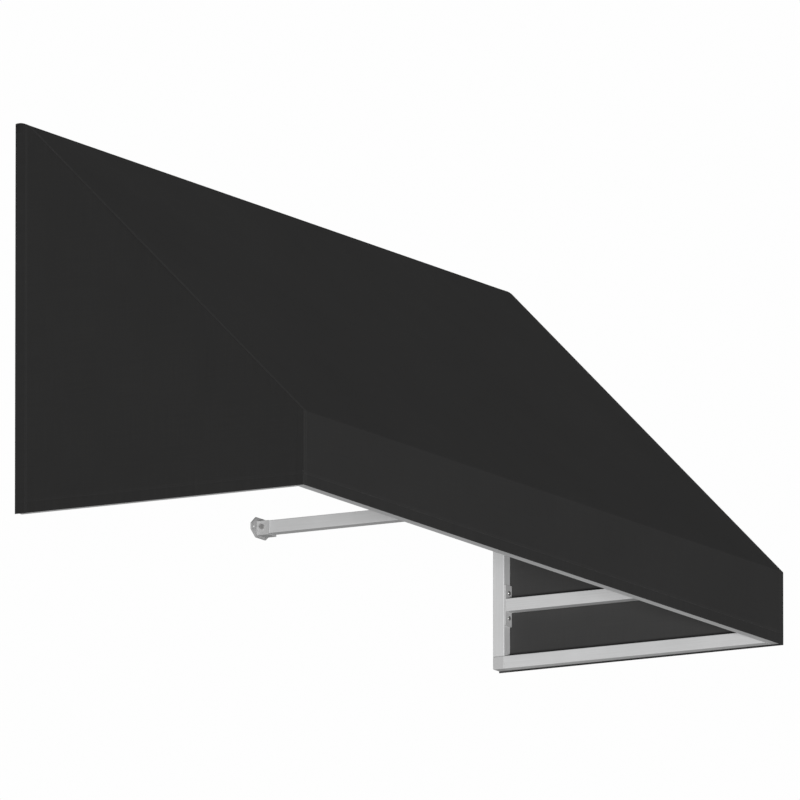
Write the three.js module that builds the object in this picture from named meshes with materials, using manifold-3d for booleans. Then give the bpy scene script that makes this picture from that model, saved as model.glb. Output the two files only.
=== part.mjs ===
// Fixed fabric awning for a window or door: a slip-together frame of square aluminium
// tube that stands out from a wall, under a sewn cover of one top panel and two wings.
// Millimetres. +X runs to the right along the wall, -Y out of the wall, +Z up.
// The wall is the plane Y = 0. The origin is the middle of the header's wall face.

import * as THREE from "three";
import { RoundedBoxGeometry } from "three/addons/geometries/RoundedBoxGeometry.js";
import { mergeVertices } from "three/addons/utils/BufferGeometryUtils.js";
import Module from "manifold-3d";

const wasm = await Module();
wasm.setup();

// ---- Driving dimensions ---------------------------------------------------------------
// "reach" is the distance out from the wall, "height" the distance up from the hem.

const WIDTH = 1943; // over the cloth, 76 1/2 in
const PROJECTION = 636.6; // wall to the outside of the valance
const HEIGHT = 767.5; // hem to the top of the ridge
const VALANCE = 145.4; // hem to the fold at the eave

const CLOTH = 1; // thickness of the cover
const RIDGE_RADIUS = 31; // outside of the cloth where it turns over the header
const RIDGE_REACH = 8; // the centre of that turn
const FOLD_RADIUS = 3; // outside of the cloth at the eave
const EASE = 0.5; // air between the cover and the frame
const HEM_DROP = 3.1; // the hem hangs this far below the bottom bars

const TUBE = 25.4; // outside of the square tube, 1 in
const TUBE_WALL = 1.6;
const TUBE_CORNER = 1.4; // radius on the tube's outside corners
const GAP = 0.3; // clearance between pieces that meet

const SPIGOT = TUBE - 2 * (TUBE_WALL + GAP); // side of a fitting's leg inside a tube
const SPIGOT_LENGTH = 30;
const RAFTER_SPIGOT_LENGTH = 45;
const FOOT = 3; // overlap that joins a leg to its fitting's body

const PLATE = 3.3; // thickness of a tee fitting's plate
const PLATE_LENGTH = 82;
const SCREW_OFFSET = 25; // from the middle of a tee plate
const SCREW_SHANK = 2.4; // radius
const SCREW_HEAD = 4.5; // radius
const SCREW_HEAD_HEIGHT = 2.9;
const SCREW_LENGTH = 13; // under the head

const FLANGE = 3; // thickness of the wall bracket's flange
const FLANGE_HALF_WIDTH = 38;
const FLANGE_HALF_HEIGHT = 20;
const FLANGE_TIP = 6; // half the height of the flange at its ends
const FLANGE_SHOULDER = 19; // the flange has its full height within this
const FLANGE_HOLE = 28.5; // wall screw hole, from the middle
const SADDLE = 2.8; // wall of the bracket's saddle
const SADDLE_LENGTH = 28; // from the wall
const BOLT_REACH = 14;
const BOLT = 3; // radius of the cross bolt
const BOLT_HEAD = 5.6; // radius over the corners of its head
const BOLT_HEAD_HEIGHT = 4;
const NUT_HEIGHT = 5;
const BOLT_END = 1.5; // thread showing past the nut

const WALL_HOLE = 3.5; // radius of the holes for wall screws
const HEADER_HOLES = [-750, -250, 250, 750]; // along X
const UPRIGHT_HOLES = [300, 600]; // heights

const ROUND_SIDES = 12; // facets round a hole or a screw
const OVERSHOOT = 40; // how far a cutting block runs past what it cuts

// ---- Places worked out from them ------------------------------------------------------

const HALF_WIDTH = WIDTH / 2;
const COLUMN = HALF_WIDTH - CLOTH - EASE - TUBE / 2; // X of a side frame's middle
const WALL_AXIS = TUBE / 2; // reach of the header and uprights
const FRONT_AXIS = PROJECTION - CLOTH - EASE - TUBE / 2; // reach of the eave
const FRONT_BACK = FRONT_AXIS - TUBE / 2;
const BOTTOM_AXIS = HEM_DROP + TUBE / 2;
const RIDGE_HEIGHT = HEIGHT - RIDGE_RADIUS; // centre of the ridge's turn

// The slope is the tangent from the eave fold to the circle that the ridge turns on.
const toRidge = new THREE.Vector2(PROJECTION - RIDGE_REACH, RIDGE_HEIGHT - VALANCE);
const PITCH = toRidge.angle() + Math.asin(RIDGE_RADIUS / toRidge.length());

// The header's upper front edge lies EASE inside the cloth where it turns over the ridge.
const HEADER_AXIS =
  RIDGE_HEIGHT +
  Math.sqrt((RIDGE_RADIUS - CLOTH - EASE) ** 2 - (TUBE - RIDGE_REACH) ** 2) -
  TUBE / 2;

// The eave tube lies as high as the slope allows over its upper front edge.
const EAVE_CLEARANCE = 2.2; // height under the cloth's outer corner
const EAVE_TOP = VALANCE - EAVE_CLEARANCE;
const EAVE_AXIS = EAVE_TOP - TUBE / 2;
const RAFTER_EASE = 2 * EASE; // keeps a rafter's ends clear of the cloth's two turns
const RAFTER_DEPTH = CLOTH + RAFTER_EASE + TUBE / 2; // its axis below the slope's outside
const FRAME_FRONT = FRONT_AXIS + TUBE / 2;

// Height of a line that runs parallel to the slope, depth inside it.
function slopeHeight(reach, depth) {
  return VALANCE + (PROJECTION - reach) * Math.tan(PITCH) - depth / Math.cos(PITCH);
}

// Reach of the same line at a height.
function slopeReach(height, depth) {
  const drop = height - VALANCE + depth / Math.cos(PITCH);
  return PROJECTION - drop / Math.tan(PITCH);
}

// ---- Solids ---------------------------------------------------------------------------

function toSolid(geometry) {
  const bare = geometry.clone();
  bare.deleteAttribute("normal");
  bare.deleteAttribute("uv");
  const merged = mergeVertices(bare, 1e-4);
  return new wasm.Manifold(
    new wasm.Mesh({
      numProp: 3,
      vertProperties: merged.attributes.position.array,
      triVerts: new Uint32Array(merged.index.array),
    }),
  );
}

function fromSolid(solid) {
  const { vertProperties, triVerts } = solid.getMesh();
  const geometry = new THREE.BufferGeometry();
  geometry.setAttribute("position", new THREE.BufferAttribute(vertProperties, 3));
  geometry.setIndex(new THREE.BufferAttribute(triVerts, 1));
  geometry.computeVertexNormals();
  return geometry;
}

function join(first, ...others) {
  return fromSolid(others.reduce((sum, next) => sum.add(toSolid(next)), toSolid(first)));
}

function cut(first, ...cutters) {
  return fromSolid(
    cutters.reduce((left, next) => left.subtract(toSolid(next)), toSolid(first)),
  );
}

// A block between two corners, each given as [X, reach, height].
function block(low, high) {
  const size = low.map((value, i) => high[i] - value);
  return new THREE.BoxGeometry(size[0], size[1], size[2]).translate(
    (low[0] + high[0]) / 2,
    -(low[1] + high[1]) / 2,
    (low[2] + high[2]) / 2,
  );
}

// A side outline in [reach, height], extruded along X and centred on X = 0.
function prism(outline, width, segments = 12) {
  const geometry = new THREE.ExtrudeGeometry(outline, {
    depth: width,
    bevelEnabled: false,
    curveSegments: segments,
  });
  const basis = new THREE.Matrix4().makeBasis(
    new THREE.Vector3(0, -1, 0),
    new THREE.Vector3(0, 0, 1),
    new THREE.Vector3(-1, 0, 0),
  );
  return geometry.translate(0, 0, -width / 2).applyMatrix4(basis);
}

function polygon(points) {
  return new THREE.Shape(points.map(([x, y]) => new THREE.Vector2(x, y)));
}

// A rod about a point given as [X, reach, height], along "x", "y" or "z".
function rod(radius, length, [x, reach, height], axis, sides = ROUND_SIDES) {
  const geometry = new THREE.CylinderGeometry(radius, radius, length, sides);
  if (axis === "x") geometry.rotateZ(Math.PI / 2);
  if (axis === "z") geometry.rotateX(Math.PI / 2);
  return geometry.translate(x, -reach, height);
}

// ---- Square tube ----------------------------------------------------------------------

function roundedSquare(side, radius) {
  const half = side / 2;
  const inner = half - radius;
  const shape = new THREE.Shape();
  shape.moveTo(half, -inner);
  shape.absarc(inner, inner, radius, 0, Math.PI / 2, false);
  shape.absarc(-inner, inner, radius, Math.PI / 2, Math.PI, false);
  shape.absarc(-inner, -inner, radius, Math.PI, (3 * Math.PI) / 2, false);
  shape.absarc(inner, -inner, radius, (3 * Math.PI) / 2, 2 * Math.PI, false);
  return shape;
}

// A length of tube with square ends, from 0 up its own Z.
function squareTube(length) {
  const section = roundedSquare(TUBE, TUBE_CORNER);
  const half = TUBE / 2 - TUBE_WALL;
  const corners = [
    [-half, -half],
    [-half, half],
    [half, half],
    [half, -half],
  ];
  section.holes.push(
    new THREE.Path(corners.map(([x, y]) => new THREE.Vector2(x, y))),
  );
  return new THREE.ExtrudeGeometry(section, {
    depth: length,
    bevelEnabled: false,
    curveSegments: 2,
  });
}

// Tube along X between two X values.
function tubeAcross(from, to, reach, height) {
  return squareTube(to - from).rotateY(Math.PI / 2).translate(from, -reach, height);
}

// Tube out from the wall between two reaches.
function tubeOut(from, to, height) {
  return squareTube(to - from).rotateX(Math.PI / 2).translate(0, -from, height);
}

// Upright tube between two heights.
function tubeUp(from, to, reach) {
  return squareTube(to - from).translate(0, -reach, from);
}

// Rafter tube, cut upright where it meets the header and level where it meets the eave,
// with its lower tip trimmed to the front of the frame.
function rafterTube(startReach, endHeight) {
  const startHeight = slopeHeight(startReach, RAFTER_DEPTH);
  const endReach = slopeReach(endHeight, RAFTER_DEPTH);
  const length = Math.hypot(endReach - startReach, startHeight - endHeight);
  const raw = squareTube(length + 2 * OVERSHOOT)
    .translate(0, 0, -OVERSHOOT)
    .rotateX(Math.PI / 2 + PITCH)
    .translate(0, -startReach, startHeight);
  const behind = block(
    [-TUBE, startReach - 2 * OVERSHOOT, startHeight - 2 * OVERSHOOT],
    [TUBE, startReach, startHeight + 2 * OVERSHOOT],
  );
  const below = block(
    [-TUBE, endReach - 2 * OVERSHOOT, endHeight - 2 * OVERSHOOT],
    [TUBE, endReach + 2 * OVERSHOOT, endHeight],
  );
  const ahead = block(
    [-TUBE, FRAME_FRONT, endHeight - OVERSHOOT],
    [TUBE, FRAME_FRONT + OVERSHOOT, endHeight + OVERSHOOT],
  );
  return cut(raw, behind, below, ahead);
}

// ---- Legs that slip inside the tubes --------------------------------------------------

const HALF_SPIGOT = SPIGOT / 2;

// A leg from the middle of a fitting's body along one axis, way = 1 or -1.
function leg([x, reach, height], axis, way, length = TUBE / 2 + SPIGOT_LENGTH) {
  const low = [x - HALF_SPIGOT, reach - HALF_SPIGOT, height - HALF_SPIGOT];
  const high = [x + HALF_SPIGOT, reach + HALF_SPIGOT, height + HALF_SPIGOT];
  const centre = [x, reach, height][axis];
  low[axis] = way > 0 ? centre : centre - length;
  high[axis] = way > 0 ? centre + length : centre;
  return block(low, high);
}

const ALONG_X = 0;
const OUTWARD = 1;
const UPWARD = 2;

// The leg that runs down into a rafter's upper end, with the foot that ties it to a body
// whose front face is at bodyReach.
function rafterHeadLeg(bodyReach, footLow, footHigh) {
  const start = bodyReach + GAP;
  const middle = slopeHeight(start, RAFTER_DEPTH);
  const rise = HALF_SPIGOT / Math.cos(PITCH);
  const along = [Math.cos(PITCH), -Math.sin(PITCH)];
  const across = [Math.sin(PITCH) * HALF_SPIGOT, Math.cos(PITCH) * HALF_SPIGOT];
  const end = [
    start + along[0] * RAFTER_SPIGOT_LENGTH,
    middle + along[1] * RAFTER_SPIGOT_LENGTH,
  ];
  const outline = polygon([
    [start, middle - rise],
    [end[0] - across[0], end[1] - across[1]],
    [end[0] + across[0], end[1] + across[1]],
    [start, middle + rise],
  ]);
  const foot = block(
    [-HALF_SPIGOT, bodyReach - FOOT, Math.max(footLow, middle - rise)],
    [HALF_SPIGOT, start + FOOT, Math.min(footHigh, middle + rise - FOOT)],
  );
  return [prism(outline, SPIGOT), foot];
}

// The leg that runs up into a rafter's lower end, from a body whose top is at bodyTop.
function rafterFootLeg(bodyTop, footNear, footFar) {
  const start = bodyTop + GAP;
  const middle = slopeReach(start, RAFTER_DEPTH);
  const run = HALF_SPIGOT / Math.sin(PITCH);
  const along = [-Math.cos(PITCH), Math.sin(PITCH)];
  const across = [Math.sin(PITCH) * HALF_SPIGOT, Math.cos(PITCH) * HALF_SPIGOT];
  const end = [
    middle + along[0] * RAFTER_SPIGOT_LENGTH,
    start + along[1] * RAFTER_SPIGOT_LENGTH,
  ];
  const outline = polygon([
    [middle - run, start],
    [middle + run, start],
    [end[0] + across[0], end[1] + across[1]],
    [end[0] - across[0], end[1] - across[1]],
  ]);
  const foot = block(
    [-HALF_SPIGOT, Math.max(footNear, middle - run), bodyTop - FOOT],
    [HALF_SPIGOT, Math.min(footFar, middle + run - FOOT), start + FOOT],
  );
  return [prism(outline, SPIGOT), foot];
}

// ---- Corner fittings: a cube the size of the tube with two to four legs ----------------

function cornerBody(reach, height) {
  return new RoundedBoxGeometry(TUBE, TUBE, TUBE, 1, TUBE_CORNER).translate(
    0,
    -reach,
    height,
  );
}

// inward is 1 for the left side frame and -1 for the right.
function topWallCorner(inward) {
  const centre = [0, WALL_AXIS, HEADER_AXIS];
  return join(
    cornerBody(WALL_AXIS, HEADER_AXIS),
    leg(centre, ALONG_X, inward),
    leg(centre, UPWARD, -1),
    ...rafterHeadLeg(TUBE, HEADER_AXIS - HALF_SPIGOT, HEADER_AXIS + HALF_SPIGOT),
  );
}

function eaveCorner(inward) {
  const centre = [0, FRONT_AXIS, EAVE_AXIS];
  return join(
    cornerBody(FRONT_AXIS, EAVE_AXIS),
    leg(centre, ALONG_X, inward),
    leg(centre, UPWARD, -1),
    leg(centre, OUTWARD, -1),
    ...rafterFootLeg(EAVE_TOP, FRONT_AXIS - HALF_SPIGOT, FRONT_AXIS + HALF_SPIGOT),
  );
}

function frontBottomCorner(inward) {
  const centre = [0, FRONT_AXIS, BOTTOM_AXIS];
  return join(
    cornerBody(FRONT_AXIS, BOTTOM_AXIS),
    leg(centre, ALONG_X, inward),
    leg(centre, UPWARD, 1),
    leg(centre, OUTWARD, -1),
  );
}

function wallBottomElbow() {
  const centre = [0, WALL_AXIS, BOTTOM_AXIS];
  return join(
    cornerBody(WALL_AXIS, BOTTOM_AXIS),
    leg(centre, UPWARD, 1),
    leg(centre, OUTWARD, 1),
  );
}

// ---- Tee fittings: a plate with two screws and one leg ---------------------------------

// Holes for the two screws of a tee plate, offset along "x" or "z".
function screwPlaces(middle, offsetAxis) {
  return [-SCREW_OFFSET, SCREW_OFFSET].map((offset) => {
    const place = [...middle];
    place[offsetAxis] += offset;
    return place;
  });
}

function drill(geometry, places, axis, radius = SCREW_SHANK + GAP, depth = 2 * TUBE) {
  return cut(geometry, ...places.map((place) => rod(radius, depth, place, axis)));
}

// Every tee: the face that its plate lies on, and the two places of its screws.
const UPRIGHT_TEE = {
  axis: "y",
  places: screwPlaces([0, TUBE, EAVE_AXIS], UPWARD),
};
const EAVE_TEE = {
  axis: "y",
  places: screwPlaces([0, FRONT_BACK, EAVE_AXIS], ALONG_X),
};
const HEADER_TEE = {
  axis: "y",
  places: screwPlaces([0, TUBE, HEADER_AXIS], ALONG_X),
};
const RAFTER_FOOT_TEE = {
  axis: "z",
  places: screwPlaces([0, FRONT_AXIS, EAVE_TOP], ALONG_X),
};
const UPRIGHT_TOP_TEE = {
  axis: "z",
  places: screwPlaces([0, FRONT_AXIS, EAVE_TOP - TUBE], ALONG_X),
};
const UPRIGHT_FOOT_TEE = {
  axis: "z",
  places: screwPlaces([0, FRONT_AXIS, BOTTOM_AXIS + TUBE / 2], ALONG_X),
};
const HALF_PLATE = PLATE_LENGTH / 2;
const HALF_TUBE = TUBE / 2;
const PLATE_FRONT = TUBE + GAP + PLATE; // reach of an upright tee's front face

// On the front of a wall upright, holding the wall end of a side arm.
function armToUprightTee() {
  const plate = block(
    [-HALF_TUBE, TUBE + GAP, EAVE_AXIS - HALF_PLATE],
    [HALF_TUBE, PLATE_FRONT, EAVE_AXIS + HALF_PLATE],
  );
  const spigot = leg([0, TUBE + GAP, EAVE_AXIS], OUTWARD, 1, PLATE + SPIGOT_LENGTH);
  return drill(join(plate, spigot), UPRIGHT_TEE.places, UPRIGHT_TEE.axis);
}

// On the back of the eave tube, holding the front end of the centre arm.
function armToEaveTee() {
  const plate = block(
    [-HALF_PLATE, FRONT_BACK - GAP - PLATE, EAVE_AXIS - HALF_TUBE],
    [HALF_PLATE, FRONT_BACK - GAP, EAVE_AXIS + HALF_TUBE],
  );
  const spigot = leg(
    [0, FRONT_BACK - GAP, EAVE_AXIS],
    OUTWARD,
    -1,
    PLATE + SPIGOT_LENGTH,
  );
  return drill(join(plate, spigot), EAVE_TEE.places, EAVE_TEE.axis);
}

// On the front of the header, holding the upper end of the centre rafter. Its plate
// reaches below the header, as far as the rafter's end does.
const HEADER_PLATE_TOP = 8; // above the header's axis, clear of the cloth
const HEADER_PLATE_FOOT = 24; // below it
function rafterToHeaderTee() {
  const low = HEADER_AXIS - HEADER_PLATE_FOOT;
  const high = HEADER_AXIS + HEADER_PLATE_TOP;
  const plate = block(
    [-HALF_PLATE, TUBE + GAP, low],
    [HALF_PLATE, PLATE_FRONT, high],
  );
  const solid = join(plate, ...rafterHeadLeg(PLATE_FRONT, low, high));
  return drill(solid, HEADER_TEE.places, HEADER_TEE.axis);
}

// On top of the eave tube, holding the lower end of the centre rafter. Its front edge
// stops short of the slope of the cloth.
const RAFTER_PLATE_FRONT = FRONT_AXIS + 8;
const RAFTER_PLATE_TOP = EAVE_TOP + GAP + PLATE;
function rafterToEaveTee() {
  const plate = block(
    [-HALF_PLATE, FRONT_BACK, EAVE_TOP + GAP],
    [HALF_PLATE, RAFTER_PLATE_FRONT, RAFTER_PLATE_TOP],
  );
  const solid = join(
    plate,
    ...rafterFootLeg(RAFTER_PLATE_TOP, FRONT_BACK, RAFTER_PLATE_FRONT),
  );
  return drill(solid, RAFTER_FOOT_TEE.places, RAFTER_FOOT_TEE.axis);
}

// Under the eave tube (way = -1) or on the front bottom tube (way = 1), holding one end
// of the centre front upright.
function frontUprightTee(face, way, tee) {
  const near = face + way * GAP;
  const far = near + way * PLATE;
  const plate = block(
    [-HALF_PLATE, FRONT_AXIS - HALF_TUBE, Math.min(near, far)],
    [HALF_PLATE, FRONT_AXIS + HALF_TUBE, Math.max(near, far)],
  );
  const spigot = leg([0, FRONT_AXIS, near], UPWARD, way, PLATE + SPIGOT_LENGTH);
  return drill(join(plate, spigot), tee.places, tee.axis);
}

// A pan head screw that points along its own -Z, with its head's seat at 0.
function screwGeometry() {
  const profile = [
    [0, -SCREW_LENGTH],
    [SCREW_SHANK * 0.6, -SCREW_LENGTH + 2],
    [SCREW_SHANK, -SCREW_LENGTH + 4],
    [SCREW_SHANK, 0],
    [SCREW_HEAD, 0],
    [SCREW_HEAD, SCREW_HEAD_HEIGHT * 0.5],
    [SCREW_HEAD * 0.8, SCREW_HEAD_HEIGHT * 0.88],
    [SCREW_HEAD * 0.35, SCREW_HEAD_HEIGHT],
    [0, SCREW_HEAD_HEIGHT],
  ];
  return new THREE.LatheGeometry(
    profile.map(([radius, z]) => new THREE.Vector2(radius, z)),
    ROUND_SIDES,
  ).rotateX(Math.PI / 2);
}

// ---- Wall bracket of the centre arm ----------------------------------------------------

// An upright flange against the wall, and a saddle that the arm drops into from above.
function wallBracket() {
  const flange = polygon([
    [-FLANGE_HALF_WIDTH, -FLANGE_TIP],
    [-FLANGE_SHOULDER, -FLANGE_HALF_HEIGHT],
    [FLANGE_SHOULDER, -FLANGE_HALF_HEIGHT],
    [FLANGE_HALF_WIDTH, -FLANGE_TIP],
    [FLANGE_HALF_WIDTH, FLANGE_TIP],
    [FLANGE_SHOULDER, FLANGE_HALF_HEIGHT],
    [-FLANGE_SHOULDER, FLANGE_HALF_HEIGHT],
    [-FLANGE_HALF_WIDTH, FLANGE_TIP],
  ]);
  const flangeSolid = new THREE.ExtrudeGeometry(flange, {
    depth: FLANGE,
    bevelEnabled: false,
  })
    .rotateX(Math.PI / 2)
    .translate(0, 0, EAVE_AXIS);
  const inside = HALF_TUBE + GAP;
  const outside = inside + SADDLE;
  const saddle = block(
    [-outside, FLANGE / 2, EAVE_AXIS - outside],
    [outside, SADDLE_LENGTH, EAVE_AXIS + HALF_TUBE],
  );
  const room = block(
    [-inside, FLANGE, EAVE_AXIS - inside],
    [inside, SADDLE_LENGTH + OVERSHOOT, EAVE_AXIS + OVERSHOOT],
  );
  const holes = [-FLANGE_HOLE, FLANGE_HOLE].map((x) =>
    rod(WALL_HOLE, OVERSHOOT, [x, 0, EAVE_AXIS], "y"),
  );
  const boltHole = rod(BOLT + GAP, 2 * TUBE, [0, BOLT_REACH, EAVE_AXIS], "x");
  return cut(join(flangeSolid, saddle), room, ...holes, boltHole);
}

const SADDLE_SIDE = HALF_TUBE + GAP + SADDLE; // X of the saddle's outer face
const HEXAGON = 6;

function crossBolt() {
  const headStart = -SADDLE_SIDE - GAP;
  const end = SADDLE_SIDE + 2 * GAP + NUT_HEIGHT + BOLT_END;
  const shank = rod(
    BOLT,
    end - headStart + 1,
    [(end + headStart - 1) / 2, BOLT_REACH, EAVE_AXIS],
    "x",
  );
  const head = rod(
    BOLT_HEAD,
    BOLT_HEAD_HEIGHT,
    [headStart - BOLT_HEAD_HEIGHT / 2, BOLT_REACH, EAVE_AXIS],
    "x",
    HEXAGON,
  );
  return join(shank, head);
}

function crossBoltNut() {
  const middle = [SADDLE_SIDE + GAP + NUT_HEIGHT / 2, BOLT_REACH, EAVE_AXIS];
  return cut(
    rod(BOLT_HEAD, NUT_HEIGHT, middle, "x", HEXAGON),
    rod(BOLT + GAP, 2 * NUT_HEIGHT, middle, "x"),
  );
}

// ---- Cover ------------------------------------------------------------------------------

// The outside of the cover from the wall over the ridge, down the slope and the valance,
// inset by depth; back runs it from the hem to the wall instead.
function coverEdge(path, depth, back) {
  const ridge = RIDGE_RADIUS - depth;
  const fold = FOLD_RADIUS - depth;
  const wallAngle = Math.acos(-RIDGE_REACH / ridge);
  const slopeAngle = Math.PI / 2 - PITCH;
  const foldReach = PROJECTION - FOLD_RADIUS;
  const foldHeight = slopeHeight(foldReach, FOLD_RADIUS);
  if (back) {
    path.lineTo(PROJECTION - depth, 0);
    path.absarc(foldReach, foldHeight, fold, 0, slopeAngle, false);
    path.absarc(RIDGE_REACH, RIDGE_HEIGHT, ridge, slopeAngle, wallAngle, false);
  } else {
    path.moveTo(0, RIDGE_HEIGHT + ridge * Math.sin(wallAngle));
    path.absarc(RIDGE_REACH, RIDGE_HEIGHT, ridge, wallAngle, slopeAngle, true);
    path.absarc(foldReach, foldHeight, fold, slopeAngle, 0, true);
    path.lineTo(PROJECTION - depth, 0);
  }
}

// Ridge, slope and valance: one sheet between the two wings.
function topPanel() {
  const outline = new THREE.Shape();
  coverEdge(outline, 0, false);
  coverEdge(outline, CLOTH, true);
  return prism(outline, WIDTH - 2 * (CLOTH + GAP), 10);
}

// The flat end of the cover.
function wing() {
  const outline = new THREE.Shape();
  coverEdge(outline, 0, false);
  outline.lineTo(0, 0);
  return prism(outline, CLOTH, 10);
}

// ---- Finishes ----------------------------------------------------------------------------

const FINISHES = {
  tube: { color: 0xb4b7ba, roughness: 0.45, metalness: 0.7 },
  fitting: { color: 0xa9acaf, roughness: 0.55, metalness: 0.6 },
  steel: { color: 0xc4c6c8, roughness: 0.3, metalness: 1 },
  cloth: { color: 0x2c2c2d, roughness: 0.95, metalness: 0 },
};

// ---- Assembly ----------------------------------------------------------------------------

const awning = new THREE.Group();
const assembly = new THREE.Group(); // stands on its hem until it is lowered to the origin
assembly.position.z = -HEADER_AXIS;
awning.add(assembly);

function add(name, geometry, finish, x = 0) {
  const mesh = new THREE.Mesh(
    geometry,
    new THREE.MeshStandardMaterial(FINISHES[finish]),
  );
  mesh.name = name;
  mesh.position.x = x;
  assembly.add(mesh);
  return mesh;
}

// A pair of screws whose heads look along turn's own +Z.
function addScrews(name, places, turn, lift, x = 0) {
  const [dx, dreach, dheight] = lift;
  places.forEach(([px, reach, height], i) => {
    const screw = add(`${name}_screw_${i + 1}`, screwGeometry(), "steel");
    screw.rotation.x = turn;
    screw.position.set(x + px + dx, -(reach + dreach), height + dheight);
  });
}

const BOTTOM_TOP = BOTTOM_AXIS + HALF_TUBE;
const EAVE_BOTTOM = EAVE_TOP - TUBE;
const SIDE_SPAN = COLUMN - HALF_TUBE - GAP; // half the clear length between side frames
const SCREW_LIFT = GAP + PLATE + GAP; // from a tube's face to the seat of a screw head
const HEADS_FORWARD = Math.PI / 2;
const HEADS_BACK = -Math.PI / 2;
const HEADS_UP = 0;
const HEADS_DOWN = Math.PI;

// Tubes that run across, drilled for the screws of the centre tees.
const header = drill(
  drill(
    tubeAcross(-SIDE_SPAN, SIDE_SPAN, WALL_AXIS, HEADER_AXIS),
    HEADER_TEE.places,
    HEADER_TEE.axis,
    SCREW_SHANK + GAP,
    TUBE,
  ),
  HEADER_HOLES.map((x) => [x, WALL_AXIS, HEADER_AXIS]),
  "y",
  WALL_HOLE,
);
add("header_tube", header, "tube");

let eave = tubeAcross(-SIDE_SPAN, SIDE_SPAN, FRONT_AXIS, EAVE_AXIS);
for (const tee of [EAVE_TEE, RAFTER_FOOT_TEE, UPRIGHT_TOP_TEE]) {
  eave = drill(eave, tee.places, tee.axis, SCREW_SHANK + GAP, TUBE);
}
add("eave_tube", eave, "tube");

const frontBottom = drill(
  tubeAcross(-SIDE_SPAN, SIDE_SPAN, FRONT_AXIS, BOTTOM_AXIS),
  UPRIGHT_FOOT_TEE.places,
  UPRIGHT_FOOT_TEE.axis,
  SCREW_SHANK + GAP,
  TUBE,
);
add("front_bottom_tube", frontBottom, "tube");

// The two side frames, each in its own plane.
for (const [side, inward] of [
  ["left", 1],
  ["right", -1],
]) {
  const x = -inward * COLUMN;
  const upright = drill(
    drill(
      tubeUp(BOTTOM_TOP + GAP, HEADER_AXIS - HALF_TUBE - GAP, WALL_AXIS),
      UPRIGHT_TEE.places,
      UPRIGHT_TEE.axis,
      SCREW_SHANK + GAP,
      TUBE,
    ),
    UPRIGHT_HOLES.map((height) => [0, WALL_AXIS, height]),
    "y",
    WALL_HOLE,
  );
  add(`${side}_wall_upright`, upright, "tube", x);
  add(
    `${side}_bottom_tube`,
    tubeOut(TUBE + GAP, FRONT_BACK - GAP, BOTTOM_AXIS),
    "tube",
    x,
  );
  add(`${side}_arm`, tubeOut(PLATE_FRONT + GAP, FRONT_BACK - GAP, EAVE_AXIS), "tube", x);
  add(
    `${side}_front_upright`,
    tubeUp(BOTTOM_TOP + GAP, EAVE_BOTTOM - GAP, FRONT_AXIS),
    "tube",
    x,
  );
  add(`${side}_rafter`, rafterTube(TUBE + GAP, EAVE_TOP + GAP), "tube", x);
  add(`${side}_top_wall_corner`, topWallCorner(inward), "fitting", x);
  add(`${side}_eave_corner`, eaveCorner(inward), "fitting", x);
  add(`${side}_front_bottom_corner`, frontBottomCorner(inward), "fitting", x);
  add(`${side}_wall_bottom_elbow`, wallBottomElbow(), "fitting", x);
  add(`${side}_arm_tee`, armToUprightTee(), "fitting", x);
  addScrews(`${side}_arm_tee`, UPRIGHT_TEE.places, HEADS_FORWARD, [0, SCREW_LIFT, 0], x);
  add(`${side}_wing`, wing(), "cloth", -inward * (HALF_WIDTH - CLOTH / 2));
}

// The centre frame: arm, rafter and a short upright down to the front bottom tube.
const armBoltHole = rod(BOLT + GAP, 2 * TUBE, [0, BOLT_REACH, EAVE_AXIS], "x");
add(
  "centre_arm",
  cut(
    tubeOut(FLANGE + GAP, FRONT_BACK - PLATE - 2 * GAP, EAVE_AXIS),
    armBoltHole,
  ),
  "tube",
);
add("centre_rafter", rafterTube(PLATE_FRONT + GAP, RAFTER_PLATE_TOP + GAP), "tube");
add(
  "centre_front_upright",
  tubeUp(BOTTOM_TOP + PLATE + 2 * GAP, EAVE_BOTTOM - PLATE - 2 * GAP, FRONT_AXIS),
  "tube",
);
add("centre_arm_tee", armToEaveTee(), "fitting");
add("centre_rafter_head_tee", rafterToHeaderTee(), "fitting");
add("centre_rafter_foot_tee", rafterToEaveTee(), "fitting");
add("centre_upright_top_tee", frontUprightTee(EAVE_BOTTOM, -1, UPRIGHT_TOP_TEE), "fitting");
add("centre_upright_foot_tee", frontUprightTee(BOTTOM_TOP, 1, UPRIGHT_FOOT_TEE), "fitting");
addScrews("centre_arm_tee", EAVE_TEE.places, HEADS_BACK, [0, -SCREW_LIFT, 0]);
addScrews("centre_rafter_head_tee", HEADER_TEE.places, HEADS_FORWARD, [0, SCREW_LIFT, 0]);
addScrews("centre_rafter_foot_tee", RAFTER_FOOT_TEE.places, HEADS_UP, [0, 0, SCREW_LIFT]);
addScrews("centre_upright_top_tee", UPRIGHT_TOP_TEE.places, HEADS_DOWN, [0, 0, -SCREW_LIFT]);
addScrews("centre_upright_foot_tee", UPRIGHT_FOOT_TEE.places, HEADS_UP, [0, 0, SCREW_LIFT]);
add("centre_wall_bracket", wallBracket(), "fitting");
add("centre_bracket_bolt", crossBolt(), "steel");
add("centre_bracket_nut", crossBoltNut(), "steel");

add("top_panel", topPanel(), "cloth");

export default awning;
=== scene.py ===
"""The finished look of a fixed fabric awning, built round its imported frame.

Metres, in the frame of the model: +X to the right along the wall, -Y out of the wall, +Z up,
the wall at Y = 0. "Reach" is the distance out from the wall and "drop" runs from the ridge,
over the slope and the eave, down to the hem of the valance.
"""
import math

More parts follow.
